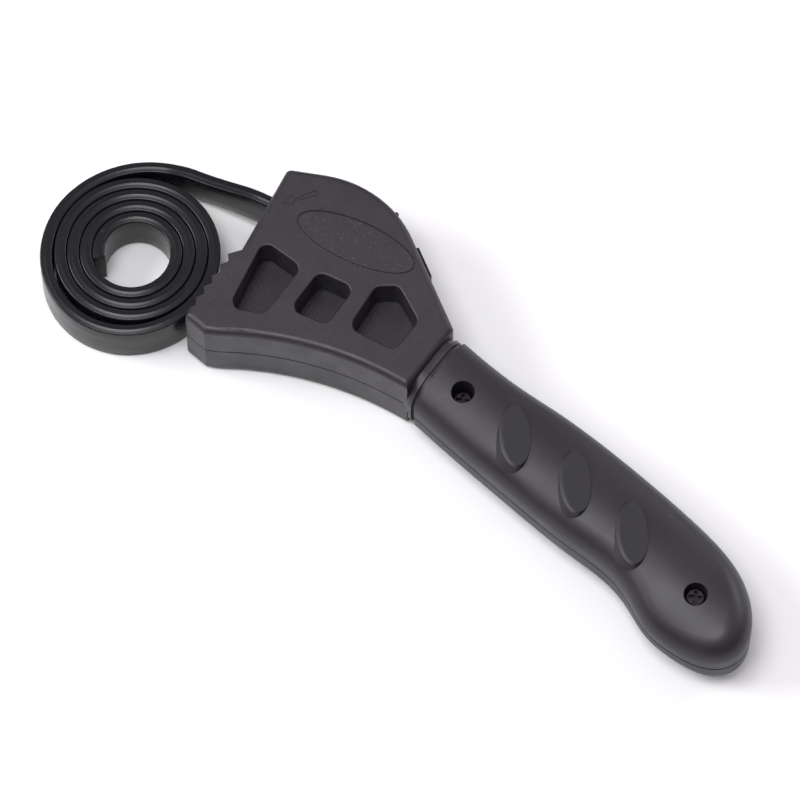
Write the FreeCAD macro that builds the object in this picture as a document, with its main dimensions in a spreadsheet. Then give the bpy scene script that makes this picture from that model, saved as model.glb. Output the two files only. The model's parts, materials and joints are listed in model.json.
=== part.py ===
"""Strap wrench with a moulded head, a rubber-covered handle and a coiled rubber strap.

Frame, in millimetres: the origin is on the underside of the head, below the middle of its oval panel.
+X runs through the strap slot towards the handle, +Z is up and Z = 0 is the face that it lies on.
The two moulded halves meet at the seam, half-way up the head. The handle is drawn in its own frame,
with x along the grip from its front end, and is then turned into place below the line of the slot.
"""
import FreeCAD, Part
import math
import os
from FreeCAD import Placement, Rotation, Vector

DIMENSIONS = {
    # head
    "head_half": 13.25,
    "head_edge_round": 2.2,
    "seam_bevel": 0.3,
    "back_round": 36.0,
    "pocket_depth": 11.0,
    "pocket_round": 3.0,
    "pocket_lip": 0.6,
    "tooth_count": 6,
    "tooth_pitch": 4.5,
    "tooth_depth": 1.6,
    "panel_long": 40.6,
    "panel_short": 15.0,
    "groove_width": 0.7,
    "groove_depth": 0.45,
    "arrow_depth": 0.2,
    "gate_diameter": 1.8,
    "gate_height": 2.4,
    # slot through the head
    "slot_width": 11.0,
    "slot_half_height": 8.0,
    "slot_length": 70.0,
    "slot_start": -36.0,
    # neck and handle
    "handle_turn": 17.5,
    "handle_place_along": 39.6,
    "handle_place_across": -30.1,
    "neck_half": 11.1,
    "neck_round": 8.6,
    "bead_half": 11.9,
    "bead_round": 9.0,
    "grip_half": 12.8,
    "grip_round": 8.0,
    "grip_crown": 30.0,
    "crown_reach": 150.0,
    "skin": 2.6,
    "tang_round": 5.8,
    "chamber_depth": 6.6,
    # screws
    "screw_front_along": 12.5,
    "screw_rear_along": 109.8,
    "screw_across": 2.9,
    "access_diameter": 7.4,
    "screw_head_diameter": 6.8,
    "screw_head_height": 2.2,
    "screw_shank_diameter": 3.8,
    "screw_length": 12.0,
    "screw_front_top": 6.6,
    "screw_head_bevel": 0.9,
    "thread_pitch": 1.25,
    "thread_depth": 0.55,
    "screw_play": 0.05,
    "hole_end_play": 0.3,
    "cross_width": 1.2,
    "cross_depth": 1.4,
    # pins that line the halves up
    "dowel_diameter": 4.0,
    "dowel_height": 3.0,
    "dowel_play": 0.2,
    # strap
    "strap_width": 15.0,
    "strap_thick": 3.8,
    "strap_across": 3.5,
    "strap_lift": 5.75,
    "flange_thick": 1.6,
    "flexure_front": -35.3,
    "flexure_gap": 2.1,
    "coil_along": -63.5,
    "coil_across": -28.6,
    "coil_start_radius": 27.7,
    "coil_pitch": 4.0,
    "coil_turns": 4.15,
    "coil_slack": 1.5,
    "slack_start": 15.0,
    "slack_end": 190.0,
}

TINY = 1e-4


def make_sheet(doc):
    """Spreadsheet of driving dimensions, one row each: name, value."""
    sheet = doc.addObject("Spreadsheet::Sheet", "dims")
    for row, (name, value) in enumerate(DIMENSIONS.items(), start=1):
        sheet.set(f"A{row}", name.replace("_", " "))
        sheet.set(f"B{row}", str(value))
        sheet.setAlias(f"B{row}", name)
    doc.recompute()
    return sheet


doc = FreeCAD.newDocument("strap_wrench")
SHEET = make_sheet(doc)


def dim(name):
    return float(getattr(SHEET, name))


# ---------------------------------------------------------------- frames

def handle_offset(z=0.0):
    """Where the handle's frame sits in the head's frame."""
    place = Vector(dim("handle_place_along"), dim("handle_place_across"), z)
    return Placement(place, Rotation(Vector(0, 0, 1), -dim("handle_turn")))


def head_offset(z=0.0):
    return Placement(Vector(0, 0, z), Rotation())


# ---------------------------------------------------------------- outline helpers

def rounded_outline(corners):
    """Closed outline of straight sides from (x, y, radius) corners; each radius rounds its corner."""
    count = len(corners)
    starts = []
    ends = []
    arcs = []
    for i, (x, y, radius) in enumerate(corners):
        here = Vector(x, y, 0)
        before = (Vector(corners[i - 1][0], corners[i - 1][1], 0) - here).normalize()
        after_corner = corners[(i + 1) % count]
        after = (Vector(after_corner[0], after_corner[1], 0) - here).normalize()
        if radius <= 0:
            starts.append(here)
            ends.append(here)
            arcs.append(None)
            continue
        half_angle = before.getAngle(after) / 2
        reach = radius / math.tan(half_angle)
        start = here + before * reach
        end = here + after * reach
        bisector = (before + after).normalize()
        middle = here + bisector * (radius / math.sin(half_angle) - radius)
        starts.append(start)
        ends.append(end)
        arcs.append(Part.Arc(start, middle, end))
    pieces = []
    for i in range(count):
        if arcs[i] is not None:
            pieces.append(arcs[i])
        following = starts[(i + 1) % count]
        if (following - ends[i]).Length > TINY:
            pieces.append(Part.LineSegment(ends[i], following))
    return pieces


def ellipse_outline(x, y, long_axis, short_axis, angle):
    turn = math.radians(angle)
    centre = Vector(x, y, 0)
    tip = centre + Vector(math.cos(turn), math.sin(turn), 0) * (long_axis / 2)
    side = centre + Vector(-math.sin(turn), math.cos(turn), 0) * (short_axis / 2)
    return [Part.Ellipse(tip, side, centre)]


# ---------------------------------------------------------------- feature helpers

def new_body(label, placement):
    body = doc.addObject("PartDesign::Body", label)
    body.Label = label
    body.Placement = placement
    return body


def plane(body, role):
    for feature in body.Origin.OriginFeatures:
        if feature.Role == role:
            return feature
    raise ValueError(f"no plane {role}")


def draw(body, name, geometry, offset, role="XY_Plane"):
    sketch = body.newObject("Sketcher::SketchObject", name)
    sketch.AttachmentSupport = [(plane(body, role), "")]
    sketch.MapMode = "FlatFace"
    sketch.AttachmentOffset = offset
    for item in geometry:
        sketch.addGeometry(item, False)
    return sketch


def bind(feature, **bindings):
    """Tie feature properties to cells; a value may be any expression on cell names."""
    for prop, cells in bindings.items():
        feature.setExpression(prop, cells)


def pad(body, sketch, name, length, reverse=False):
    feature = body.newObject("PartDesign::Pad", name)
    feature.Profile = sketch
    feature.Reversed = reverse
    bind(feature, Length=length)
    doc.recompute()
    return feature


def pocket(body, sketch, name, length, reverse=False):
    volume = body.Shape.Volume
    feature = body.newObject("PartDesign::Pocket", name)
    feature.Profile = sketch
    feature.Reversed = reverse
    bind(feature, Length=length)
    doc.recompute()
    if body.Shape.Volume >= volume:
        raise RuntimeError(f"{body.Label}: {name} cuts nothing")
    return feature


def dress_edges(body, base, kind, name, chosen, **size):
    """Fillet or Chamfer the edges of base for which chosen(edge) is true."""
    names = [f"Edge{i}" for i, edge in enumerate(base.Shape.Edges, start=1) if chosen(edge)]
    if not names:
        raise RuntimeError(f"{body.Label}: {name} has no edges")
    feature = body.newObject(f"PartDesign::{kind}", name)
    feature.Base = (base, names)
    bind(feature, **size)
    doc.recompute()
    return feature


def round_edges(body, base, name, radius, chosen):
    return dress_edges(body, base, "Fillet", name, chosen, Radius=radius)


def middle_of(edge):
    return edge.valueAt((edge.FirstParameter + edge.LastParameter) / 2)


def lies_at_height(edge, z):
    box = edge.BoundBox
    return abs(box.ZMin - z) < TINY and abs(box.ZMax - z) < TINY


def cylinder(body, kind, name, offset, radius, height, side):
    """Add or cut an upright cylinder that starts at the offset and runs outwards on the given side."""
    feature = body.newObject(f"PartDesign::{kind}Cylinder", name)
    flip = Rotation(Vector(1, 0, 0), 0 if side > 0 else 180)
    feature.Placement = offset.multiply(Placement(Vector(), flip))
    bind(feature, Radius=radius, Height=height)
    doc.recompute()
    return feature


# ---------------------------------------------------------------- head

FRONT_TOP = Vector(-31.0, 14.0, 0)
FRONT_FOOT = Vector(-31.0, -18.6, 0)
BACK_CORNER = Vector(-0.5, 23.2, 0)
NECK_CORNER = Vector(40.4, -13.0, 0)
BACK_LINE = (NECK_CORNER - BACK_CORNER).normalize()
JAW_TOP = Vector(-33.8, -21.3, 0)
JAW_LENGTH = 24.0
JAW_LINE = Vector(-0.116, -1.0, 0).normalize()
TOOTH_ROOT_SHARE = 0.44
JAW_TIP_STEP = Vector(0.3, -2.6, 0)
BELLY_RIGHT = Vector(36.5, -37.6, 0)
BELLY_MIDDLE = Vector(7.4, -37.8, 0)
BELLY_LEFT = Vector(-24.2, -47.2, 0)
JAW_HEEL = Vector(-28.2, -48.5, 0)


def tooth_points():
    """Saw teeth down the jaw: each has its tip out and its root in, nearer the tip above."""
    inwards = Vector(-JAW_LINE.y, JAW_LINE.x, 0)
    points = []
    for i in range(int(dim("tooth_count"))):
        tip = JAW_TOP + JAW_LINE * (i * dim("tooth_pitch"))
        points.append(tip)
        root = tip + JAW_LINE * (TOOTH_ROOT_SHARE * dim("tooth_pitch")) + inwards * dim("tooth_depth")
        points.append(root)
    return points[:-1]


def head_outline():
    """Back edge, neck end, belly arc, jaw and flat front, as one closed outline."""
    teeth = tooth_points()
    jaw_tip = teeth[-1] + JAW_TIP_STEP
    corners = [(FRONT_TOP, 2.0), (BACK_CORNER, dim("back_round")), (NECK_CORNER, 1.4)]
    corners += [(BELLY_RIGHT, 0), (BELLY_LEFT, 0), (JAW_HEEL, 0), (jaw_tip, 1.0)]
    corners += [(point, 0) for point in reversed(teeth)]
    corners.append((FRONT_FOOT, 0))
    pieces = rounded_outline([(point.x, point.y, radius) for point, radius in corners])
    outline = []
    for piece in pieces:
        start = piece.StartPoint
        end = piece.EndPoint
        joins_belly = (start - BELLY_RIGHT).Length < TINY and (end - BELLY_LEFT).Length < TINY
        if joins_belly:
            outline.append(Part.Arc(BELLY_RIGHT, BELLY_MIDDLE, BELLY_LEFT))
        else:
            outline.append(piece)
    return outline


POCKETS = {
    "jaw_pocket": [(-26.0, -12.2), (-11.3, -15.2), (-14.4, -34.6), (-25.2, -37.6)],
    "middle_pocket": [(-5.7, -14.3), (6.7, -14.3), (4.6, -29.2), (-7.9, -29.9)],
    "neck_pocket": [(12.4, -11.0), (18.6, -7.6), (29.4, -15.6), (27.3, -28.0), (11.2, -27.2)],
}

# stub of the moulding gate on the back edge, above the seam
GATE = Vector(6.3, 15.2, 8.6)

ARROW_LINE = 0.45
ARROW = [(-19.3, 10.9), (-24.0, 5.0), (-25.6, 6.1), (-26.6, 1.9), (-22.4, 2.8), (-23.6, 3.9), (-17.6, 9.5)]


def arrow_outline():
    """Thin outline of an arrow that points at the mouth of the slot."""
    outer = rounded_outline([(x, y, 0) for x, y in ARROW])
    wire = Part.Wire(Part.__sortEdges__([piece.toShape() for piece in outer]))
    inner = wire.makeOffset2D(-ARROW_LINE)
    lines = []
    for edge in inner.Edges:
        lines.append(Part.LineSegment(edge.Vertexes[0].Point, edge.Vertexes[1].Point))
    return outer + lines


# ---------------------------------------------------------------- handle

GRIP_FRONT_TOP = 17.6
GRIP_FRONT_FOOT = -9.5
GRIP_SIDE = [
    (0.0, GRIP_FRONT_TOP), (8.0, 17.5), (22.0, 18.0), (38.0, 21.5), (62.0, 23.3), (92.0, 23.6),
    (112.0, 21.4), (126.4, 12.6), (133.0, 0.8), (127.4, -9.2), (114.5, -12.7), (103.0, -13.2),
    (92.0, -8.0), (80.0, -6.6), (66.0, -8.9), (40.0, -9.4), (16.0, -9.8), (3.7, GRIP_FRONT_FOOT),
]
TANG_REACH = 4.0
FRONT_REACH = 60.0
SHORTEST_EDGE = 1.0
LONGEST_END = 35.0


def handle_outline(inset, front_shift):
    """Side line of the handle as a smooth curve steered by its poles, closed by a straight front end."""
    points = []
    for i, (x, y) in enumerate(GRIP_SIDE):
        before = GRIP_SIDE[max(i - 1, 0)]
        after = GRIP_SIDE[min(i + 1, len(GRIP_SIDE) - 1)]
        along = Vector(after[0] - before[0], after[1] - before[1], 0).normalize()
        points.append(Vector(x, y, 0) + Vector(along.y, -along.x, 0) * inset)
    front = (points[0] - points[-1]).normalize()
    forwards = Vector(-front.y, front.x, 0)
    points[0] = points[0] + forwards * front_shift
    points[-1] = points[-1] + forwards * front_shift
    side = Part.BSplineCurve()
    side.buildFromPoles(points, False, 3)
    return [side, Part.LineSegment(points[-1], points[0])]


# strips across the neck: how far in from the grip's sides, and where they start and end along the handle
NECK_STRIP = (1.2, -8.0, 0.05)
BEAD_STRIP = (0.4, -3.0, -1.7)
NECK_SLANT = 0.137


def neck_band(inset, start, end):
    """Strip across the neck, between two lines parallel to the slanted neck end."""
    top = GRIP_FRONT_TOP - inset
    bottom = GRIP_FRONT_FOOT + inset
    shift = NECK_SLANT * (top - bottom)
    corners = [(start, top), (end, top), (end + shift, bottom), (start + shift, bottom)]
    return rounded_outline([(x, y, 0) for x, y in corners])


CROWN_MIDDLE = 5.5
CROWN_HALF_SPAN = 24.0
CROWN_DROP = 6.5


def crown_outline(side):
    """Region outside the slightly domed face of a skin, across the handle, as seen along it."""
    radius = dim("grip_crown")
    drop = radius - math.sqrt(radius ** 2 - CROWN_HALF_SPAN ** 2)
    outside = dim("grip_half") + 1.0
    left = Vector(CROWN_MIDDLE - CROWN_HALF_SPAN, side * (dim("grip_half") - drop), 0)
    right = Vector(CROWN_MIDDLE + CROWN_HALF_SPAN, left.y, 0)
    top = Vector(CROWN_MIDDLE, side * dim("grip_half"), 0)
    right_out = Vector(right.x, side * outside, 0)
    left_out = Vector(left.x, side * outside, 0)
    return [Part.Arc(left, top, right), Part.LineSegment(right, right_out),
            Part.LineSegment(right_out, left_out), Part.LineSegment(left_out, left)]


CHAMBERS = [(21.0, 45.0), (51.0, 75.0), (81.0, 101.0)]
CHAMBER_FOOT = -3.4
CHAMBER_TOP = (13.0, 14.0)
CHAMBER_ROUND = 2.5
HEAD_DOWELS = [(-20.0, -42.0), (2.0, -34.5), (8.0, 9.6)]
HANDLE_DOWELS = [(48.0, 6.0), (78.0, 7.0)]


def is_front_end(edge):
    """True for a straight edge across the front of the handle or neck."""
    start = edge.Vertexes[0].Point
    end = edge.Vertexes[-1].Point
    straight = abs((end - start).Length - edge.Length) < TINY
    return straight and abs(end.x - start.x) < abs(end.y - start.y) and start.x < FRONT_REACH


def long_outer_edges(height):
    """Edges that run along the handle at the given height."""
    def chosen(edge):
        return lies_at_height(edge, height) and edge.Length > SHORTEST_EDGE and not is_front_end(edge)
    return chosen


def half_shell(label, side):
    """One moulded half: head, neck and hollow tang; side is +1 above the seam and -1 below."""
    down = side < 0
    lift = Placement(Vector(0, 0, dim("head_half")), Rotation())
    body = new_body(label, lift)

    tang = draw(body, f"{label}_tang_line", handle_outline(dim("skin"), TANG_REACH), handle_offset())
    tang = pad(body, tang, f"{label}_tang", "dims.grip_half - dims.skin", down)
    tang = round_edges(body, tang, f"{label}_tang_round", "dims.tang_round",
                       long_outer_edges(side * (dim("grip_half") - dim("skin"))))

    neck = draw(body, f"{label}_neck_line", neck_band(*NECK_STRIP), handle_offset())
    neck = pad(body, neck, f"{label}_neck", "dims.neck_half", down)
    neck = round_edges(body, neck, f"{label}_neck_round", "dims.neck_round",
                       long_outer_edges(side * dim("neck_half")))
    bead = draw(body, f"{label}_bead_line", neck_band(*BEAD_STRIP), handle_offset())
    bead = pad(body, bead, f"{label}_bead", "dims.bead_half", down)
    round_edges(body, bead, f"{label}_bead_round", "dims.bead_round",
                long_outer_edges(side * dim("bead_half")))

    head = draw(body, f"{label}_head_line", head_outline(), head_offset())
    head = pad(body, head, f"{label}_head", "dims.head_half", down)

    head_wire = head.Profile[0].Shape

    def on_jaw(point):
        return point.x < FRONT_TOP.x - TINY and point.y > JAW_TOP.y - JAW_LENGTH

    def rim(edge):
        return lies_at_height(edge, side * dim("head_half")) and not on_jaw(middle_of(edge))

    def seam(edge):
        point = middle_of(edge)
        on_outline = head_wire.distToShape(Part.Vertex(point))[0] < TINY
        return lies_at_height(edge, 0) and on_outline and not on_jaw(point)
    head = round_edges(body, head, f"{label}_rim_round", "dims.head_edge_round", rim)
    dress_edges(body, head, "Chamfer", f"{label}_seam", seam, Size="dims.seam_bevel")
    if side > 0:
        gate = Placement(GATE, Rotation())
        cylinder(body, "Additive", f"{label}_gate", gate, "dims.gate_diameter / 2", "dims.gate_height", 1)

    outside = head_offset(side * dim("head_half"))
    hollows = []
    for corners in POCKETS.values():
        hollows += rounded_outline([(x, y, dim("pocket_round")) for x, y in corners])
    hollow = draw(body, f"{label}_pocket_lines", hollows, outside)
    hollow = pocket(body, hollow, f"{label}_pockets", "dims.pocket_depth", down)
    hollow_wire = hollow.Profile[0].Shape

    def lip(edge):
        on_hollow = hollow_wire.distToShape(Part.Vertex(middle_of(edge)))[0] < TINY
        return lies_at_height(edge, side * dim("head_half")) and on_hollow
    round_edges(body, hollow, f"{label}_pocket_lips", "dims.pocket_lip", lip)

    panel = ellipse_outline(0, 0, dim("panel_long"), dim("panel_short"), 0)
    slim = 2 * dim("groove_width")
    panel += ellipse_outline(0, 0, dim("panel_long") - slim, dim("panel_short") - slim, 0)
    panel = draw(body, f"{label}_panel_line", panel, outside)
    pocket(body, panel, f"{label}_panel_groove", "dims.groove_depth", down)
    if side > 0:
        arrow = draw(body, f"{label}_arrow_line", arrow_outline(), outside)
        pocket(body, arrow, f"{label}_arrow", "dims.arrow_depth")

    slot = body.newObject("PartDesign::SubtractiveBox", f"{label}_slot")
    slot.Placement = Placement(Vector(dim("slot_start"), -dim("slot_width") / 2,
                                      min(0, side) * dim("slot_half_height")), Rotation())
    bind(slot, Length="dims.slot_length", Width="dims.slot_width", Height="dims.slot_half_height")

    for i, (start, end) in enumerate(CHAMBERS, start=1):
        top_start, top_end = CHAMBER_TOP
        corners = [(start, CHAMBER_FOOT), (end, CHAMBER_FOOT), (end, top_end), (start, top_start)]
        chamber = rounded_outline([(x, y, CHAMBER_ROUND) for x, y in corners])
        chamber = draw(body, f"{label}_chamber_line_{i}", chamber, handle_offset())
        pocket(body, chamber, f"{label}_chamber_{i}", "dims.chamber_depth", not down)

    dowel_half = "dims.dowel_diameter / 2"
    places = [head_offset().multiply(Placement(Vector(x, y, 0), Rotation())) for x, y in HEAD_DOWELS]
    places += [handle_offset().multiply(Placement(Vector(x, y, 0), Rotation())) for x, y in HANDLE_DOWELS]
    for i, place in enumerate(places, start=1):
        if side > 0:
            cylinder(body, "Additive", f"{label}_dowel_{i}", place, dowel_half, "dims.dowel_height", -1)
        else:
            cylinder(body, "Subtractive", f"{label}_socket_{i}", place,
                     dowel_half + " + dims.dowel_play / 2", "dims.dowel_height + dims.dowel_play", -1)

    screw_holes(body, label, side)
    doc.recompute()
    return body


def screw_places():
    """Axis of each screw and the height of the top of its head above the seam."""
    across = dim("screw_across")
    return {
        "screw_front": (dim("screw_front_along"), across, dim("screw_front_top")),
        "screw_rear": (dim("screw_rear_along"), across, dim("grip_half") - dim("skin")),
    }


def screw_holes(body, label, side):
    """Head recess and clearance hole above the seam; blind hole with the thread's diameter below it."""
    shank = "dims.screw_shank_diameter / 2 + dims.screw_play"
    for name, (along, across, top) in screw_places().items():
        seat = top - dim("screw_head_height")
        if side > 0:
            seat_place = handle_offset(seat).multiply(Placement(Vector(along, across, 0), Rotation()))
            cylinder(body, "Subtractive", f"{label}_{name}_recess", seat_place,
                     "dims.access_diameter / 2", "dims.grip_half", 1)
            through = handle_offset().multiply(Placement(Vector(along, across, 0), Rotation()))
            cylinder(body, "Subtractive", f"{label}_{name}_hole", through, shank, "dims.grip_half", 1)
        else:
            place = handle_offset().multiply(Placement(Vector(along, across, 0), Rotation()))
            depth = f"dims.screw_length - {seat} + dims.hole_end_play"
            cylinder(body, "Subtractive", f"{label}_{name}_hole", place, shank, depth, -1)


PADS = [(34.5, 3.6), (58.5, 5.1), (82.6, 4.7)]
PAD_TOP = (20.4, 8.4)
PAD_WAIST = (21.4, 9.6)
PAD_FOOT = (23.4, 12.4)
PAD_FOOT_DEPTH = 2.4
PAD_TURN = -42.5
# the skirt of a pad is wide on the side towards the belly of the grip and hardly shows on the other
PAD_LEAN = Vector(-0.35, -0.45, 0)
PAD_FOOT_LEAN = 2.6


def tang_room(label, side):
    """The space that one half of the tang fills inside the skin, open at the front end."""
    down = side < 0
    body = new_body(f"{label}_room", handle_offset(dim("head_half")))
    block = draw(body, f"{label}_room_line", handle_outline(dim("skin"), TANG_REACH), head_offset())
    block = pad(body, block, f"{label}_room_block", "dims.grip_half - dims.skin", down)
    round_edges(body, block, f"{label}_room_round", "dims.tang_round",
                long_outer_edges(side * (dim("grip_half") - dim("skin"))))
    return body


def grip_skin(label, side):
    """Soft skin of one half of the handle, with three raised oval pads; the upper one has two holes."""
    down = side < 0
    body = new_body(f"{label}_outside", handle_offset(dim("head_half")))
    step = side * dim("seam_bevel")
    outer = draw(body, f"{label}_side_line", handle_outline(0.0, 0.0), head_offset(step))
    pad(body, outer, f"{label}_block", "dims.grip_half - dims.seam_bevel", down)
    crown = draw(body, f"{label}_crown_line", crown_outline(side), head_offset(), "YZ_Plane")
    crown = pocket(body, crown, f"{label}_crown", "2 * dims.crown_reach")
    crown.Midplane = True
    doc.recompute()

    def shoulder(edge):
        box = edge.BoundBox
        low = box.ZMin if side > 0 else -box.ZMax
        return low > dim("grip_half") - CROWN_DROP and edge.Length > LONGEST_END
    round_edges(body, crown, f"{label}_round", "dims.grip_round", shoulder)
    seam = draw(body, f"{label}_seam_line", handle_outline(dim("seam_bevel"), 0.0), head_offset())
    pad(body, seam, f"{label}_seam", "2 * dims.seam_bevel", down)
    surface = dim("grip_half")
    for i, (x, y) in enumerate(PADS, start=1):
        foot_centre = Vector(x, y, 0) + PAD_LEAN * PAD_FOOT_LEAN
        foot = ellipse_outline(foot_centre.x, foot_centre.y, *PAD_FOOT, PAD_TURN)
        foot = draw(body, f"{label}_pad_foot_{i}", foot, head_offset(side * (surface - PAD_FOOT_DEPTH)))
        waist = ellipse_outline(x + PAD_LEAN.x, y + PAD_LEAN.y, *PAD_WAIST, PAD_TURN)
        waist = draw(body, f"{label}_pad_waist_{i}", waist, head_offset(side * surface))
        top = ellipse_outline(x, y, *PAD_TOP, PAD_TURN)
        top = draw(body, f"{label}_pad_top_{i}", top, head_offset(side * dim("head_half")))
        rise = body.newObject("PartDesign::AdditiveLoft", f"{label}_pad_{i}")
        rise.Profile = foot
        rise.Sections = [waist, top]
        rise.Ruled = True
        doc.recompute()
    if side > 0:
        for name, (along, across, _top) in screw_places().items():
            place = Placement(Vector(along, across, 0), Rotation())
            cylinder(body, "Subtractive", f"{label}_{name}_access", place,
                     "dims.access_diameter / 2", "2 * dims.grip_half", 1)
    skin = doc.addObject("Part::Cut", label)
    skin.Label = label
    skin.Base = body
    skin.Tool = tang_room(label, side)
    doc.recompute()
    return skin


# ---------------------------------------------------------------- screws

PLAIN_SHANK = 1.0
SCREW_POINT = 1.9
CROSS_SHARE = 0.62
CROSS_TURNS = (35, 125)


def screw(label):
    """Pan-head screw with a cross recess; its own origin is under the head, +Z towards the driver."""
    along, across, top = screw_places()[label]
    seat = top - dim("screw_head_height")
    place = handle_offset(dim("head_half") + seat)
    body = new_body(label, place.multiply(Placement(Vector(along, across, 0), Rotation())))
    head_radius = dim("screw_head_diameter") / 2
    head_height = dim("screw_head_height")
    thread_radius = dim("screw_shank_diameter") / 2
    core_radius = thread_radius - dim("thread_depth")
    length = dim("screw_length")
    pitch = dim("thread_pitch")
    bevel = dim("screw_head_bevel")
    corners = [Vector(0, head_height, 0), Vector(head_radius - bevel, head_height, 0),
               Vector(head_radius, head_height - bevel, 0), Vector(head_radius, 0, 0),
               Vector(core_radius, 0, 0)]
    level = -PLAIN_SHANK
    while level - pitch > SCREW_POINT - length:
        corners.append(Vector(core_radius, level, 0))
        corners.append(Vector(thread_radius, level - pitch / 3, 0))
        corners.append(Vector(core_radius, level - pitch * 2 / 3, 0))
        level -= pitch
    corners += [Vector(core_radius, SCREW_POINT - length, 0), Vector(0, -length, 0)]
    lines = []
    for start, end in zip(corners, corners[1:] + corners[:1]):
        lines.append(Part.LineSegment(start, end))
    profile = draw(body, f"{label}_profile", lines, head_offset(), "XZ_Plane")
    turned = body.newObject("PartDesign::Revolution", f"{label}_turned")
    turned.Profile = profile
    turned.ReferenceAxis = (profile, ["V_Axis"])
    turned.Angle = 360.0
    doc.recompute()
    reach = CROSS_SHARE * dim("screw_head_diameter")
    for i, angle in enumerate(CROSS_TURNS, start=1):
        arm = body.newObject("PartDesign::SubtractiveBox", f"{label}_cross_{i}")
        turn = Rotation(Vector(0, 0, 1), angle)
        corner = turn.multVec(Vector(-reach / 2, -dim("cross_width") / 2, 0))
        arm.Placement = Placement(corner + Vector(0, 0, head_height - dim("cross_depth")), turn)
        arm.Length = reach
        bind(arm, Width="dims.cross_width", Height="2 * dims.cross_depth")
    doc.recompute()
    return body


# ---------------------------------------------------------------- strap

STEPS_PER_TURN = 24
FLANGE_HEEL = 5.0
FLANGE_TOE = 0.2


def back_edge_at(across):
    """Where the straight stretch of the back edge is, at this distance from the slot's middle."""
    return BACK_CORNER + BACK_LINE * ((across - BACK_CORNER.y) / BACK_LINE.y)


def strap_root():
    """The stretch inside the slot, with a stop flange that bears on the back edge of the head."""
    body = new_body("strap_root", Placement(Vector(0, 0, dim("strap_lift")), Rotation()))
    half = dim("strap_thick") / 2
    near = dim("strap_across") + half
    far = dim("strap_across") - half
    start = dim("flexure_front") + dim("flexure_gap")
    outwards = Vector(-BACK_LINE.y, BACK_LINE.x, 0)
    upper = back_edge_at(near)
    lower = back_edge_at(far)
    heel = upper - BACK_LINE * FLANGE_HEEL
    toe = lower + BACK_LINE * FLANGE_TOE
    thick = dim("flange_thick")
    corners = [Vector(start, far, 0), Vector(start, near, 0), upper, heel, heel + outwards * thick,
               toe + outwards * thick, toe, lower]
    ring = []
    for corner in corners:
        ring.append((corner.x, corner.y, 0))
    sketch = draw(body, "strap_root_line", rounded_outline(ring), head_offset())
    pad(body, sketch, "strap_root_block", "dims.strap_width")
    return body


def coil_frame():
    """Coil's centre, start angle and inward normal there, and radius and centre of the arc before it."""
    centre = Vector(dim("coil_along"), dim("coil_across"), 0)
    start_angle = math.radians(180 - dim("handle_turn"))
    fall = dim("coil_pitch") / (2 * math.pi)
    radius = dim("coil_start_radius")
    out = Vector(math.cos(start_angle), math.sin(start_angle), 0)
    around = Vector(-out.y, out.x, 0)
    inward = (out * -radius - around * fall).normalize()
    start = centre + out * radius
    lead_radius = (dim("strap_across") - start.y) / (1 + inward.y)
    lead_centre = start + inward * lead_radius
    return centre, start_angle, inward, lead_radius, lead_centre


def slack(turned):
    """How far the outer turn hangs loose after this much of the spiral, in radians, and its slope."""
    start = math.radians(dim("slack_start"))
    reach = math.radians(dim("slack_end")) - start
    phase = math.pi * min(max((turned - start) / reach, 0.0), 1.0)
    amount = dim("coil_slack") * math.sin(phase) ** 2
    slope = dim("coil_slack") * math.sin(2 * phase) * math.pi / reach
    return amount, slope


def spiral_edge(offset):
    """One face line of the coiled strap, offset from its middle line, with its first and last points."""
    centre, start_angle = coil_frame()[:2]
    fall = dim("coil_pitch") / (2 * math.pi)
    sweep = 2 * math.pi * dim("coil_turns")
    steps = int(STEPS_PER_TURN * dim("coil_turns"))
    points = []
    for i in range(steps + 1):
        turned = sweep * i / steps
        angle = start_angle + turned
        amount, slope = slack(turned)
        radius = dim("coil_start_radius") - fall * turned + amount
        out = Vector(math.cos(angle), math.sin(angle), 0)
        around = Vector(-out.y, out.x, 0)
        tangent = (out * (slope - fall) + around * radius).normalize()
        outwards = Vector(tangent.y, -tangent.x, 0)
        points.append(centre + out * radius + outwards * offset)
    curve = Part.BSplineCurve()
    curve.interpolate(points)
    return curve, points[0], points[-1]


def strap_coil():
    """Lead-in arc and four loose turns of strap, standing on edge on the floor."""
    body = new_body("strap_coil", Placement())
    half = dim("strap_thick") / 2
    inward, lead_radius, lead_centre = coil_frame()[2:]
    first = math.pi / 2 + dim("flexure_gap") / lead_radius
    last = math.atan2(-inward.y, -inward.x)
    sides = []
    for offset in (half, -half):
        radius = lead_radius + offset
        spiral, spiral_start, spiral_end = spiral_edge(offset)
        begin = lead_centre + Vector(math.cos(first), math.sin(first), 0) * radius
        middle_angle = (first + last) / 2
        middle = lead_centre + Vector(math.cos(middle_angle), math.sin(middle_angle), 0) * radius
        sides.append((begin, Part.Arc(begin, middle, spiral_start), spiral, spiral_end))
    (outer_begin, outer_arc, outer_spiral, outer_end) = sides[0]
    (inner_begin, inner_arc, inner_spiral, inner_end) = sides[1]
    geometry = [outer_arc, outer_spiral, Part.LineSegment(outer_end, inner_end), inner_spiral, inner_arc,
                Part.LineSegment(inner_begin, outer_begin)]
    sketch = draw(body, "strap_coil_line", geometry, head_offset())
    pad(body, sketch, "strap_coil_block", "dims.strap_width")
    return body


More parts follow.
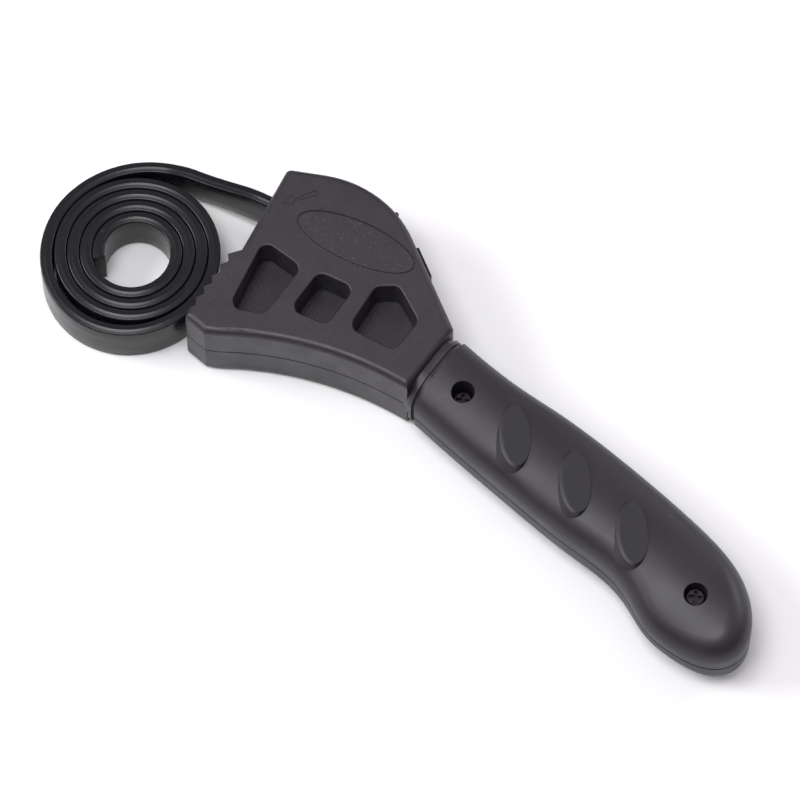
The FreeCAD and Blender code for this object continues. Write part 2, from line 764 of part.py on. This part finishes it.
def strap_lead():
    """Straight stretch between the slot and the coil; it drops from the slot's height to the floor."""
    lead_centre = coil_frame()[-1]
    body = new_body("strap_lead", Placement(Vector(0, dim("strap_across"), 0), Rotation()))
    half = dim("strap_thick") / 2
    right = dim("flexure_front") + half
    left = lead_centre.x - half
    width = dim("strap_width")
    lift = dim("strap_lift")
    corners = [(left, 0, 0), (right, lift, 0), (right, lift + width, 0), (left, width, 0)]
    profile = draw(body, "strap_lead_line", rounded_outline(corners), head_offset(), "XZ_Plane")
    block = body.newObject("PartDesign::Pad", "strap_lead_block")
    block.Profile = profile
    block.Midplane = True
    bind(block, Length="dims.strap_thick")
    doc.recompute()

    def upright(edge):
        box = edge.BoundBox
        return box.XLength < TINY and box.YLength < TINY
    round_edges(body, block, "strap_lead_ends", "dims.strap_thick / 2 - 0.01", upright)
    return body


# ---------------------------------------------------------------- build, check, write

def build():
    parts = [half_shell("body_half_upper", 1), half_shell("body_half_lower", -1)]
    parts += [grip_skin("grip_skin_upper", 1), grip_skin("grip_skin_lower", -1)]
    parts += [screw("screw_front"), screw("screw_rear")]
    parts += [strap_root(), strap_lead(), strap_coil()]
    doc.recompute()
    return parts


def check(parts):
    for item in doc.Objects:
        if "Invalid" in item.State or "Error" in item.State:
            raise RuntimeError(f"{item.Label}: {item.State}")
    for part in parts:
        shape = part.Shape
        if shape.isNull() or not shape.isValid() or len(shape.Solids) != 1:
            raise RuntimeError(f"{part.Label}: bad shape, {len(shape.Solids)} solids")
        print(f"{part.Label}: {shape.Volume / 1000:.2f} cm3")


def write(parts):
    os.makedirs("parts", exist_ok=True)
    for part in parts:
        part.Shape.exportStep(f"parts/{part.Label}.step")


PARTS = build()
check(PARTS)
write(PARTS)
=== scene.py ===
"""Looks of the strap wrench: its materials, the whole rubber strap, and the studio.

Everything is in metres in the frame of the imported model: the origin is under the middle of
the head's oval panel, +X runs through the strap slot towards the handle, and the wrench lies
on z = 0.
"""
import json
import math

import bmesh
import bpy
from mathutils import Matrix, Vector


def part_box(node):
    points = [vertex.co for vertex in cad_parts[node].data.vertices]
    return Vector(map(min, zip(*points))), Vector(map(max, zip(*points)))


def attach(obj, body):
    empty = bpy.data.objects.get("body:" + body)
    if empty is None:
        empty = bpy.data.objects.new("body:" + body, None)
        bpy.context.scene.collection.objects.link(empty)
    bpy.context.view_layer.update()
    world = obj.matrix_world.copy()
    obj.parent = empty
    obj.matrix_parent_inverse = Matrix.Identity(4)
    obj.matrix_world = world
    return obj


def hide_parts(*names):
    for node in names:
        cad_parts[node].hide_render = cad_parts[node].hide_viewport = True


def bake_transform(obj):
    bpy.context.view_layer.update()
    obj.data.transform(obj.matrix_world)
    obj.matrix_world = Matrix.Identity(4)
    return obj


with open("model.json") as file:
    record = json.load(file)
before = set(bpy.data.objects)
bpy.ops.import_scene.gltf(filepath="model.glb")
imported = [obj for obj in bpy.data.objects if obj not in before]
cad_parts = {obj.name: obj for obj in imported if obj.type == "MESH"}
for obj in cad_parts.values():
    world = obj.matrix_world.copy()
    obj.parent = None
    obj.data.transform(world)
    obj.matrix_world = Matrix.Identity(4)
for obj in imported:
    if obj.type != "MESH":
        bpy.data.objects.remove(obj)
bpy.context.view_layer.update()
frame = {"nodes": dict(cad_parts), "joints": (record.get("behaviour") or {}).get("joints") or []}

MM = 0.001
NODES = frame["nodes"]
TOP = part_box("body_half_upper")[1].z
COIL_LOW, COIL_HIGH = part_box("strap_coil")
HINGES = {joint["name"]: Vector(joint["pos_m"]) for joint in frame["joints"]}
SLOT_MOUTH = HINGES["strap_swing"]
COIL_NECK = HINGES["coil_swing"]

# camera and light
VIEW_TURN = math.radians(26.5)
VIEW_RISE = math.radians(64.7)
VIEW_TARGET = Vector((33.2, -35.9, 11.0)) * MM
VIEW_DISTANCE = 1.722
LENS = 250
FAR_LIMIT = 20
HORIZON = (0.08, 0.075, 0.085, 1)
ZENITH = (0.6, 0.57, 0.62, 1)
SKY_BAND = (0.15, 0.85)
# name, turn and rise in degrees, distance, width, height, power
SOFTBOXES = (
    ("side", -70, 36, 1.5, 0.7, 0.5, 13),
    ("overhead", -30, 78, 1.5, 0.7, 0.7, 12),
    ("rim", 150, 24, 1.6, 1.2, 0.3, 7),
)
FLOOR_SIZE = 8
FLOOR_DARKEST = (0.86, 0.86, 0.865, 1)
FLOOR_PALEST = (0.89, 0.89, 0.89, 1)

# casts of the near-blacks, and how light each material is from its darkest to its palest
BODY_TINT = (1.04, 0.84, 1.08)
STRAP_TINT = (1.0, 0.92, 1.2)
NYLON_TONES = (0.012, 0.025)
NYLON_FLECK = 0.12
GRIP_TONES = (0.012, 0.018)
GRIP_DUST = 0.14
PAD_TONE = 0.008
STRAP_TONES = (0.005, 0.009)
STRAP_SCUFF = 0.12
STEEL_TONES = (0.02, 0.05)

# roughness of each material, from its glossiest to its dullest
NYLON_GLOSS = (0.36, 0.5)
GRIP_GLOSS = (0.4, 0.5)
PAD_GLOSS = 0.58
STRAP_GLOSS = (0.2, 0.3)
SCUFF_DULLS = 0.2
STEEL_GLOSS = (0.38, 0.55)

# the part of a noise's range that is stretched over a whole gloss range
NOISE_SPAN = (0.3, 0.7)

# marks on the body: the oval panel, the pockets' floors and the grip's raised ovals
PANEL_HALF_LONG = 20.3 * MM
PANEL_HALF_SHORT = 7.5 * MM
PANEL_EDGE = (1.0, 0.9)
PANEL_BAND = (TOP / 2 - 1.0 * MM, TOP / 2 - 0.6 * MM)
POCKET_DEPTH = 11.0 * MM
FLOOR_BAND = (TOP / 2 - POCKET_DEPTH + 0.3 * MM, TOP / 2 - POCKET_DEPTH + 0.1 * MM)
PAD_BAND = (TOP / 2 - 0.25 * MM, TOP / 2 - 0.1 * MM)

# strap's section, and the flange on its end
STRAP_WIDTH = COIL_HIGH.z - COIL_LOW.z
STRAP_THICK = 3.8 * MM
STRAP_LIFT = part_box("strap_root")[0].z
CORNER_RADIUS = 0.55 * MM
CORNER_STEPS = 4
MOULD_LINE_HEIGHT = 0.12 * MM
MOULD_LINE_HALF = 0.3 * MM
FLANGE_THICK = 1.6 * MM
FLANGE_HEEL = 5.0 * MM
FLANGE_TOE = 0.2 * MM
FLANGE_ROUND = 0.4 * MM
BACK_CORNER = Vector((-0.5, 23.2, 0)) * MM
NECK_CORNER = Vector((40.4, -13.0, 0)) * MM
BACK_LINE = (NECK_CORNER - BACK_CORNER).normalized()

# straight lead from the slot to the coil, which leans and drops to the floor as it goes
LEAD_LENGTH = SLOT_MOUTH.x - COIL_NECK.x
LEAD_MIDDLE = (SLOT_MOUTH.x + COIL_NECK.x) / 2
FALL_ON_ARC = 12.0 * MM
EASE = 0.2
LEAN = 0.07
BEND_ZONE = 3.0 * MM
SLANTED_END = 5.0 * MM
SLOT_STEP = 3.0 * MM
LEAD_STEP = 0.7 * MM

# coil: an arc from the lead, then a spiral round its own centre
ARC_START = math.pi / 2
ARC_SPLIT = math.radians(120)
COIL_CENTRE = Vector((-63.5, -28.6, 0)) * MM
COIL_START_ANGLE = math.radians(162.5)
COIL_START_RADIUS = 27.7 * MM
COIL_PITCH = 4.0 * MM
COIL_FALL = COIL_PITCH / (2 * math.pi)
COIL_TURNS = 4.15
SLACK = 1.5 * MM
SLACK_START = math.radians(15)
SLACK_END = math.radians(190)
RINGS_PER_TURN = 130


def add_object(name, data):
    made = bpy.data.objects.new(name, data)
    bpy.context.scene.collection.objects.link(made)
    return made


def within_one(value):
    return min(max(value, 0.0), 1.0)


# ---------------------------------------------------------------- camera, floor and light

def aim(thing, target):
    thing.rotation_mode = "QUATERNION"
    thing.rotation_quaternion = (target - thing.location).to_track_quat("-Z", "Y")


def place_from(turn, rise, distance):
    """Point that looks at the target from a compass turn (0 looks along +Y) and a height angle."""
    level = Vector((math.sin(turn), -math.cos(turn), 0)) * math.cos(rise)
    return VIEW_TARGET + (level + Vector((0, 0, math.sin(rise)))) * distance


def add_camera():
    data = bpy.data.cameras.new("camera")
    data.lens = LENS
    data.clip_end = FAR_LIMIT
    camera = add_object("camera", data)
    camera.location = place_from(VIEW_TURN, VIEW_RISE, VIEW_DISTANCE)
    aim(camera, VIEW_TARGET)
    bpy.context.scene.camera = camera


def add_softbox(name, turn, rise, distance, width, height, power):
    data = bpy.data.lights.new(name, "AREA")
    data.shape = "RECTANGLE"
    data.size = width
    data.size_y = height
    data.energy = power
    light = add_object(name, data)
    light.location = place_from(math.radians(turn), math.radians(rise), distance)
    aim(light, VIEW_TARGET)


def add_studio():
    """Grey world that is dark at the horizon, three softboxes and a pale floor."""
    world = bpy.data.worlds.new("studio")
    bpy.context.scene.world = world
    world.use_nodes = True
    tree = world.node_tree
    up = axis_values(tree, add(tree, "TexCoord").outputs["Generated"])[2]
    sky = blend_colour(tree, remap(tree, up, SKY_BAND), HORIZON, ZENITH)
    tree.links.new(sky, tree.nodes["Background"].inputs["Color"])
    for softbox in SOFTBOXES:
        add_softbox(*softbox)
    bpy.ops.mesh.primitive_plane_add(size=FLOOR_SIZE)
    floor = bpy.context.object
    floor.name = "floor"
    floor.data.materials.append(floor_material())
    bpy.context.scene.view_settings.view_transform = "Standard"


# ---------------------------------------------------------------- shader nodes

def add(tree, kind, inputs=None, **settings):
    """New shader node; an input may be a value or another node's socket."""
    made = tree.nodes.new("ShaderNode" + kind)
    for name, value in settings.items():
        setattr(made, name, value)
    for name, value in (inputs or {}).items():
        if isinstance(value, bpy.types.NodeSocket):
            tree.links.new(value, made.inputs[name])
        else:
            made.inputs[name].default_value = value
    return made


def start_material(name, **uniform):
    """Material, its tree and its shader; its sockets get the values that are the same all over."""
    material = bpy.data.materials.new(name)
    material.use_nodes = True
    tree = material.node_tree
    shader = tree.nodes["Principled BSDF"]
    for socket, value in uniform.items():
        shader.inputs[socket.replace("_", " ")].default_value = value
    return material, tree, shader


def finish_material(tree, shader, colour, roughness=None, normal=None):
    tree.links.new(colour, shader.inputs["Base Color"])
    if roughness is not None:
        tree.links.new(roughness, shader.inputs["Roughness"])
    if normal is not None:
        tree.links.new(normal, shader.inputs["Normal"])


def object_place(tree):
    return add(tree, "TexCoord").outputs["Object"]


def axis_values(tree, place):
    split = add(tree, "SeparateXYZ", {0: place})
    return split.outputs[0], split.outputs[1], split.outputs[2]


def noise(tree, place, scale, detail=3.0, roughness=0.6):
    inputs = {"Vector": place, "Scale": scale, "Detail": detail, "Roughness": roughness}
    return add(tree, "TexNoise", inputs).outputs[0]


def remap(tree, value, band, target=(0.0, 1.0)):
    """Value stretched from the band to the target, and held at the target's ends."""
    inputs = {"Value": value, "From Min": band[0], "From Max": band[1],
              "To Min": target[0], "To Max": target[1]}
    return add(tree, "MapRange", inputs, clamp=True).outputs["Result"]


def calculate(tree, operation, first, second=0.0):
    return add(tree, "Math", {0: first, 1: second}, operation=operation).outputs[0]


def blend_colour(tree, factor, first, second):
    return add(tree, "Mix", {0: factor, 6: first, 7: second}, data_type="RGBA").outputs[2]


def shade(value, tint=BODY_TINT):
    """Near-black of the given lightness, with a faint cast."""
    return (value * tint[0], value * tint[1], value * tint[2], 1)


def blend_tones(tree, factor, tones, tint=BODY_TINT):
    return blend_colour(tree, factor, shade(tones[0], tint), shade(tones[1], tint))


def fleck_colour(tree, colour, flecks, strength, tone):
    """Colour with this much of a paler tone over it where the flecks are."""
    return blend_colour(tree, calculate(tree, "MULTIPLY", flecks, strength), colour, shade(tone))


def bump(tree, height, strength, distance, below=None):
    inputs = {"Height": height, "Strength": strength, "Distance": distance}
    if below is not None:
        inputs["Normal"] = below
    return add(tree, "Bump", inputs).outputs["Normal"]


def height_from_seam(tree, z):
    """Distance above or below the seam half-way up the wrench."""
    return calculate(tree, "ABSOLUTE", calculate(tree, "SUBTRACT", z, TOP / 2))


def squared_share(tree, value, whole):
    share = calculate(tree, "ABSOLUTE", calculate(tree, "DIVIDE", value, whole))
    return calculate(tree, "POWER", share, 2.0)


def panel_mask(tree, place):
    """1 inside the oval panel on either face of the head."""
    x, y, z = axis_values(tree, place)
    x = squared_share(tree, x, PANEL_HALF_LONG)
    y = squared_share(tree, y, PANEL_HALF_SHORT)
    inside = remap(tree, calculate(tree, "ADD", x, y), PANEL_EDGE)
    on_face = remap(tree, height_from_seam(tree, z), PANEL_BAND)
    return calculate(tree, "MULTIPLY", inside, on_face)


def pocket_floor_mask(tree, place):
    """1 on the floors of the cored pockets and everything nearer the seam."""
    return remap(tree, height_from_seam(tree, axis_values(tree, place)[2]), FLOOR_BAND)


# ---------------------------------------------------------------- materials

def floor_material():
    material, tree, shader = start_material("pale_floor", Specular_IOR_Level=0.2, Roughness=0.6)
    clouds = noise(tree, object_place(tree), scale=3.0)
    finish_material(tree, shader, blend_colour(tree, clouds, FLOOR_DARKEST, FLOOR_PALEST))
    return material


def nylon_material():
    """Glass-filled nylon: fine grain, pale flecks in patches, and a rougher oval panel."""
    material, tree, shader = start_material("nylon", Specular_IOR_Level=0.5)
    place = object_place(tree)
    grain = noise(tree, place, scale=1500.0, detail=4.0, roughness=0.7)
    patches = remap(tree, noise(tree, place, scale=55.0, detail=2.0), (0.42, 0.66))
    patches = calculate(tree, "MULTIPLY", patches, 0.6)
    rough_skin = calculate(tree, "MAXIMUM", patches, panel_mask(tree, place))

    flecks = noise(tree, place, scale=1900.0, detail=2.0, roughness=0.5)
    flecks = remap(tree, flecks, (0.62, 0.74))
    flecks = calculate(tree, "MULTIPLY", flecks, calculate(tree, "ADD", rough_skin, 0.15))
    colour = blend_tones(tree, grain, NYLON_TONES)
    colour = fleck_colour(tree, colour, flecks, 0.45, NYLON_FLECK)
    gloss = remap(tree, noise(tree, place, scale=140.0), NOISE_SPAN, NYLON_GLOSS)

    pebbles = noise(tree, place, scale=1100.0, detail=2.0, roughness=0.5)
    pebbles = calculate(tree, "MULTIPLY", pebbles, rough_skin)
    wave = {"Vector": place, "Scale": 260.0, "Distortion": 2.0, "Detail": 2.0}
    lines = add(tree, "TexWave", wave).outputs[1]
    scratches = calculate(tree, "MULTIPLY", lines, pocket_floor_mask(tree, place))
    normal = bump(tree, grain, strength=0.35, distance=0.06 * MM)
    normal = bump(tree, pebbles, strength=0.5, distance=0.12 * MM, below=normal)
    normal = bump(tree, scratches, strength=0.35, distance=0.06 * MM, below=normal)
    finish_material(tree, shader, colour, gloss, normal)
    return material


def grip_material():
    """Smooth satin rubber with dust specks; the raised ovals are duller."""
    material, tree, shader = start_material("grip_rubber", Specular_IOR_Level=0.5)
    place = object_place(tree)
    pads = remap(tree, height_from_seam(tree, axis_values(tree, place)[2]), PAD_BAND)
    clouds = noise(tree, place, scale=45.0)

    specks = remap(tree, noise(tree, place, scale=900.0, detail=1.0), (0.78, 0.8))
    colour = blend_tones(tree, clouds, GRIP_TONES)
    colour = fleck_colour(tree, colour, specks, 0.5, GRIP_DUST)
    colour = blend_colour(tree, pads, colour, shade(PAD_TONE))
    gloss = remap(tree, clouds, NOISE_SPAN, GRIP_GLOSS)
    gloss = add(tree, "Mix", {0: pads, 2: gloss, 3: PAD_GLOSS}, data_type="FLOAT").outputs[0]

    ripple = noise(tree, place, scale=70.0, detail=2.0)
    skin = noise(tree, place, scale=2600.0, detail=2.0)
    normal = bump(tree, ripple, strength=0.25, distance=0.5 * MM)
    normal = bump(tree, skin, strength=0.12, distance=0.03 * MM, below=normal)
    finish_material(tree, shader, colour, gloss, normal)
    return material


def strap_material():
    """Rubber strap: dark and smooth, with scuffs and drag marks along its length."""
    material, tree, shader = start_material("strap_rubber", Specular_IOR_Level=0.32)
    place = add(tree, "TexCoord").outputs["UV"]
    along = add(tree, "Mapping", {"Vector": place, "Scale": (60.0, 900.0, 1.0)}).outputs[0]
    drag = noise(tree, along, scale=1.0)
    clouds = noise(tree, place, scale=120.0)
    scuffs = remap(tree, noise(tree, place, scale=380.0, detail=4.0, roughness=0.7), (0.62, 0.72))
    worn_places = remap(tree, noise(tree, place, scale=28.0), (0.5, 0.65))
    scuffs = calculate(tree, "MULTIPLY", scuffs, worn_places)

    colour = blend_tones(tree, clouds, STRAP_TONES, STRAP_TINT)
    colour = fleck_colour(tree, colour, scuffs, 0.5, STRAP_SCUFF)
    gloss = remap(tree, drag, NOISE_SPAN, STRAP_GLOSS)
    dulled = calculate(tree, "MULTIPLY", scuffs, SCUFF_DULLS)
    gloss = calculate(tree, "ADD", gloss, dulled)

    pores = noise(tree, place, scale=900.0, detail=2.0)
    normal = bump(tree, drag, strength=0.15, distance=0.05 * MM)
    normal = bump(tree, pores, strength=0.12, distance=0.04 * MM, below=normal)
    finish_material(tree, shader, colour, gloss, normal)
    return material


def steel_material():
    """Black-oxide steel of the screws."""
    material, tree, shader = start_material("black_steel", Metallic=0.85)
    place = object_place(tree)
    colour = blend_tones(tree, noise(tree, place, scale=900.0), STEEL_TONES)
    gloss = remap(tree, noise(tree, place, scale=500.0), NOISE_SPAN, STEEL_GLOSS)
    finish_material(tree, shader, colour, gloss)
    return material


def set_material(thing, material):
    thing.data.materials.clear()
    thing.data.materials.append(material)


# ---------------------------------------------------------------- line of the strap

def direction(angle):
    return Vector((math.cos(angle), math.sin(angle), 0))


def quarter_turn(arrow):
    return Vector((-arrow.y, arrow.x, 0))


def back_edge_at(across):
    """Point of the head's back edge at this y."""
    return BACK_CORNER + BACK_LINE * ((across - BACK_CORNER.y) / BACK_LINE.y)


def share_of_fall(travel):
    """0 up to the mouth of the slot and 1 from where the strap lies on the floor."""
    return within_one(travel / (LEAD_LENGTH + FALL_ON_ARC))


def strap_height(travel):
    """Height of the strap's lower edge, this far from the mouth of the slot."""
    share = share_of_fall(travel)
    if share < EASE:
        fallen = share * share / (2 * EASE)
    elif share > 1 - EASE:
        fallen = 1 - EASE - (1 - share) ** 2 / (2 * EASE)
    else:
        fallen = share - EASE / 2
    return STRAP_LIFT * (1 - fallen / (1 - EASE))


def strap_lean(travel):
    """How far the strap leans, outwards per upwards; it is upright in the slot and the coil."""
    return -LEAN * math.sin(math.pi * share_of_fall(travel)) ** 2


def coil_arc():
    """Centre, radius and last angle of the arc that joins the straight lead to the spiral."""
    out = direction(COIL_START_ANGLE)
    inward = (-out * COIL_START_RADIUS - quarter_turn(out) * COIL_FALL).normalized()
    start = COIL_CENTRE + out * COIL_START_RADIUS
    radius = (COIL_NECK.y - start.y) / (1 + inward.y)
    return start + inward * radius, radius, math.atan2(-inward.y, -inward.x)


def slack(turned):
    """How far the outer turn hangs loose after this much of the spiral, and its slope."""
    reach = SLACK_END - SLACK_START
    phase = math.pi * within_one((turned - SLACK_START) / reach)
    return SLACK * math.sin(phase) ** 2, SLACK * math.sin(2 * phase) * math.pi / reach


# A ring is a place where the strap's section is set: the middle of its lower edge, the way
# out from the coil, and the lean.

def straight_rings(first_x, last_x, step):
    """Rings along the line of the slot."""
    count = max(2, round(abs(last_x - first_x) / step))
    rings = []
    for i in range(count + 1):
        x = first_x + (last_x - first_x) * i / count
        travel = SLOT_MOUTH.x - x
        middle = Vector((x, SLOT_MOUTH.y, strap_height(travel)))
        rings.append((middle, Vector((0, 1, 0)), strap_lean(travel)))
    return rings


def arc_rings(first_angle, last_angle):
    """Rings along the arc between the lead and the spiral."""
    centre, radius = coil_arc()[:2]
    turn = last_angle - first_angle
    count = max(2, round(abs(turn) / (2 * math.pi) * RINGS_PER_TURN))
    rings = []
    for i in range(count + 1):
        angle = first_angle + turn * i / count
        travel = LEAD_LENGTH + radius * (angle - ARC_START)
        out = direction(angle)
        middle = centre + out * radius + Vector((0, 0, strap_height(travel)))
        rings.append((middle, out, strap_lean(travel)))
    return rings


def spiral_rings():
    """Rings along the spiral, after the one that ends the arc."""
    count = int(RINGS_PER_TURN * COIL_TURNS)
    rings = []
    for i in range(1, count + 1):
        turned = 2 * math.pi * COIL_TURNS * i / count
        amount, slope = slack(turned)
        radius = COIL_START_RADIUS - COIL_FALL * turned + amount
        out = direction(COIL_START_ANGLE + turned)
        tangent = (quarter_turn(out) * radius + out * (slope - COIL_FALL)).normalized()
        rings.append((COIL_CENTRE + out * radius, -quarter_turn(tangent), 0.0))
    return rings


# ---------------------------------------------------------------- mesh of the strap

def strap_section():
    """Cross-section as (outwards, upwards) points from the strap's middle, all the way round.

    A low mould line runs along the middle of each narrow face, and the points part-way up
    each wide face keep its shading even.
    """
    half_thick = STRAP_THICK / 2
    half_width = STRAP_WIDTH / 2 - MOULD_LINE_HEIGHT
    corner = []
    for i in range(CORNER_STEPS + 1):
        angle = math.pi / 2 * i / CORNER_STEPS
        corner.append((half_thick - CORNER_RADIUS * (1 - math.cos(angle)),
                       half_width - CORNER_RADIUS * (1 - math.sin(angle))))
    half_line = [(MOULD_LINE_HALF, half_width),
                 (MOULD_LINE_HALF / 3, half_width + MOULD_LINE_HEIGHT)]
    upper_right = [(half_thick, half_width / 3)] + corner + half_line
    upper_left = [(-x, y) for x, y in reversed(upper_right)]
    upper = upper_right + upper_left
    return upper + [(-x, -y) for x, y in upper]


def lengths_round(section):
    """Distance round the section at each of its points, and back at the first."""
    lengths = [0.0]
    for here, after in zip(section, section[1:] + section[:1]):
        lengths.append(lengths[-1] + math.dist(here, after))
    return lengths


def lengths_along(rings, start_length):
    """Length of strap at each ring."""
    lengths = [start_length]
    for before, after in zip(rings, rings[1:]):
        lengths.append(lengths[-1] + (after[0] - before[0]).length)
    return lengths


def add_outline(work, section, ring):
    """Vertices of the section at one ring."""
    middle, outward, lean = ring
    outline = []
    for x, y in section:
        up = Vector((0, 0, STRAP_WIDTH / 2 + y))
        outline.append(work.verts.new(middle + outward * (x + lean * y) + up))
    return outline


def close_end(work, uv, outline):
    cap = work.faces.new(outline)
    for edge in cap.edges:
        edge.smooth = False
    for loop in cap.loops:
        loop[uv].uv = (loop.vert.co.x, loop.vert.co.z)


def finish_mesh(name, work):
    """Object in the scene with the mesh that was worked on."""
    mesh = bpy.data.meshes.new(name)
    work.to_mesh(mesh)
    work.free()
    return add_object(name, mesh)


def sweep_strap(name, rings, start_length):
    """Closed mesh of the section carried through the rings; returns it and its end length."""
    section = strap_section()
    points = len(section)
    around = lengths_round(section)
    along = lengths_along(rings, start_length)
    work = bmesh.new()
    uv = work.loops.layers.uv.new("strap")
    outlines = [add_outline(work, section, ring) for ring in rings]
    for i in range(len(rings) - 1):
        for j in range(points):
            corners = ((i, j), (i, j + 1), (i + 1, j + 1), (i + 1, j))
            face = work.faces.new([outlines[ring][point % points] for ring, point in corners])
            face.smooth = True
            for loop, (ring, point) in zip(face.loops, corners):
                loop[uv].uv = (along[ring], around[point])
    close_end(work, uv, outlines[0][::-1])
    close_end(work, uv, outlines[-1])
    bmesh.ops.recalc_face_normals(work, faces=work.faces)
    return finish_mesh(name, work), along[-1]


# ---------------------------------------------------------------- pieces of the strap

def strap_feed(material):
    """Stretch in the slot and half the lead; it bends where it leaves the slot."""
    edge = back_edge_at(SLOT_MOUTH.y)
    slanted = Vector((BACK_LINE.x / BACK_LINE.y, 1, 0))
    rings = [(Vector((edge.x, edge.y, STRAP_LIFT)), slanted, 0.0)]
    rings += straight_rings(edge.x - SLANTED_END, SLOT_MOUTH.x + BEND_ZONE, SLOT_STEP)
    rings += straight_rings(SLOT_MOUTH.x + BEND_ZONE, LEAD_MIDDLE, LEAD_STEP)[1:]
    made, length = sweep_strap("strap_feed", rings, 0.0)
    set_material(made, material)
    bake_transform(made)
    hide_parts("strap_root")
    return length


def strap_bend(material, length):
    """Other half of the lead and the first of the arc; it bends at the coil's neck."""
    rings = straight_rings(LEAD_MIDDLE, COIL_NECK.x, LEAD_STEP)
    rings += arc_rings(ARC_START, ARC_SPLIT)[1:]
    made, length = sweep_strap("strap_bend", rings, length)
    set_material(made, material)
    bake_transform(made)
    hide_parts("strap_lead")
    return length


def strap_turns(material, length):
    """Rest of the arc and the coil."""
    rings = arc_rings(ARC_SPLIT, coil_arc()[2])
    rings += spiral_rings()
    made, length = sweep_strap("strap_turns", rings, length)
    set_material(made, material)
    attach(made, "strap_coil")
    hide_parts("strap_coil")
    print(f"strap length {length:.3f} m")


def strap_stop(material):
    """Moulded stop flange on the end of the strap, against the back edge of the head."""
    half = STRAP_THICK / 2
    heel = back_edge_at(SLOT_MOUTH.y + half) - BACK_LINE * FLANGE_HEEL
    toe = back_edge_at(SLOT_MOUTH.y - half) + BACK_LINE * FLANGE_TOE
    out = quarter_turn(BACK_LINE) * FLANGE_THICK
    work = bmesh.new()
    uv = work.loops.layers.uv.new("strap")
    low = []
    high = []
    for corner in (heel, toe, toe + out, heel + out):
        low.append(work.verts.new(corner + Vector((0, 0, STRAP_LIFT))))
        high.append(work.verts.new(corner + Vector((0, 0, STRAP_LIFT + STRAP_WIDTH))))
    work.faces.new(low)
    work.faces.new(high)
    for i in range(4):
        j = (i + 1) % 4
        work.faces.new((low[i], low[j], high[j], high[i]))
    bmesh.ops.recalc_face_normals(work, faces=work.faces)
    bmesh.ops.bevel(work, geom=work.edges, offset=FLANGE_ROUND, segments=3, profile=0.5,
                    affect="EDGES")
    for face in work.faces:
        face.smooth = True
        for loop in face.loops:
            loop[uv].uv = ((loop.vert.co - heel).dot(BACK_LINE), loop.vert.co.z)
    made = finish_mesh("strap_stop", work)
    set_material(made, material)
    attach(made, "wrench")


# ---------------------------------------------------------------- put it together

def dress_cad_nodes():
    looks = {
        "shell": (nylon_material(), ("body_half_upper", "body_half_lower")),
        "grip": (grip_material(), ("grip_skin_upper", "grip_skin_lower")),
        "steel": (steel_material(), ("screw_front", "screw_rear")),
    }
    for slot, (material, names) in looks.items():
        for name in names:
            set_material(NODES[name], material)


def add_strap():
    rubber = strap_material()
    length = strap_feed(rubber)
    length = strap_bend(rubber, length)
    strap_turns(rubber, length)
    strap_stop(rubber)


add_camera()
add_studio()
dress_cad_nodes()
add_strap()
